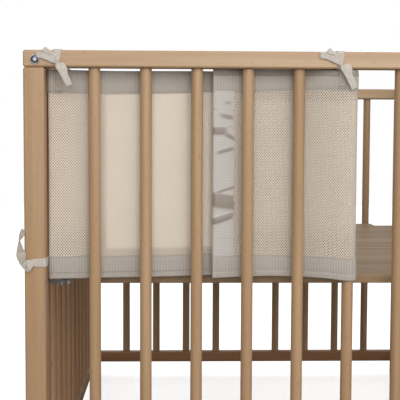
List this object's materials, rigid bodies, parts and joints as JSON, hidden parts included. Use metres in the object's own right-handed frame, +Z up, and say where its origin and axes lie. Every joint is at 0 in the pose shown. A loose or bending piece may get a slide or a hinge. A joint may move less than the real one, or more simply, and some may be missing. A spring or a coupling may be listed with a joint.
{
  "type": "playpen bumper on a wooden playpen",
  "caption": "Net bumper with bound edges and ribbon ties, tied inside a wooden playpen with upright spindles, one end folded back round a spindle.",
  "frame": {"origin": "on the floor under the middle of the playpen", "axes": "+Z up, the front panel that the picture shows faces -Y, +X to the right along it"},
  "size_m": [0.8491, 1.0338, 0.7528],
  "materials": {
    "beech": "clear-lacquered pale beech, satin, fine grain",
    "zinc_steel": "zinc-plated steel",
    "beige_net": "matt knitted spacer net with small staggered holes",
    "grey_binding": "ribbed woven band with a faint sheen",
    "tie_ribbon": "soft woven ribbon with a faint sheen"
  },
  "bodies": {
    "root": {"base_board": "beech", "bolt_far_left": "zinc_steel", "bolt_far_right": "zinc_steel", "bolt_front_left": "zinc_steel", "bolt_front_right": "zinc_steel", "bracket_far_left": "zinc_steel", "bracket_far_right": "zinc_steel", "bracket_front_left": "zinc_steel", "bracket_front_right": "zinc_steel", "end_strip_far": "grey_binding", "end_strip_flap": "grey_binding", "low_binding": "grey_binding", "low_rail_far": "beech", "low_rail_front": "beech", "net_panel": "beige_net", "post_far_left": "beech", "post_far_right": "beech", "post_front_left": "beech", "post_front_right": "beech", "side_panel_left": "beech", "side_panel_right": "beech", "spindle_far_1": "beech", "spindle_far_2": "beech", "spindle_far_3": "beech", "spindle_far_4": "beech", "spindle_far_5": "beech", "spindle_far_6": "beech", "spindle_far_7": "beech", "spindle_far_8": "beech", "spindle_far_9": "beech", "spindle_front_1": "beech", "spindle_front_2": "beech", "spindle_front_3": "beech", "spindle_front_4": "beech", "spindle_front_5": "beech", "spindle_front_6": "beech", "spindle_front_7": "beech", "spindle_front_8": "beech", "spindle_front_9": "beech", "tie_far_low": "tie_ribbon", "tie_far_top": "tie_ribbon", "tie_fold_top": "tie_ribbon", "tie_near_low": "tie_ribbon", "tie_near_top": "tie_ribbon", "top_binding": "grey_binding", "top_rail_far": "beech", "top_rail_front": "beech"}
  },
  "joints": []
}
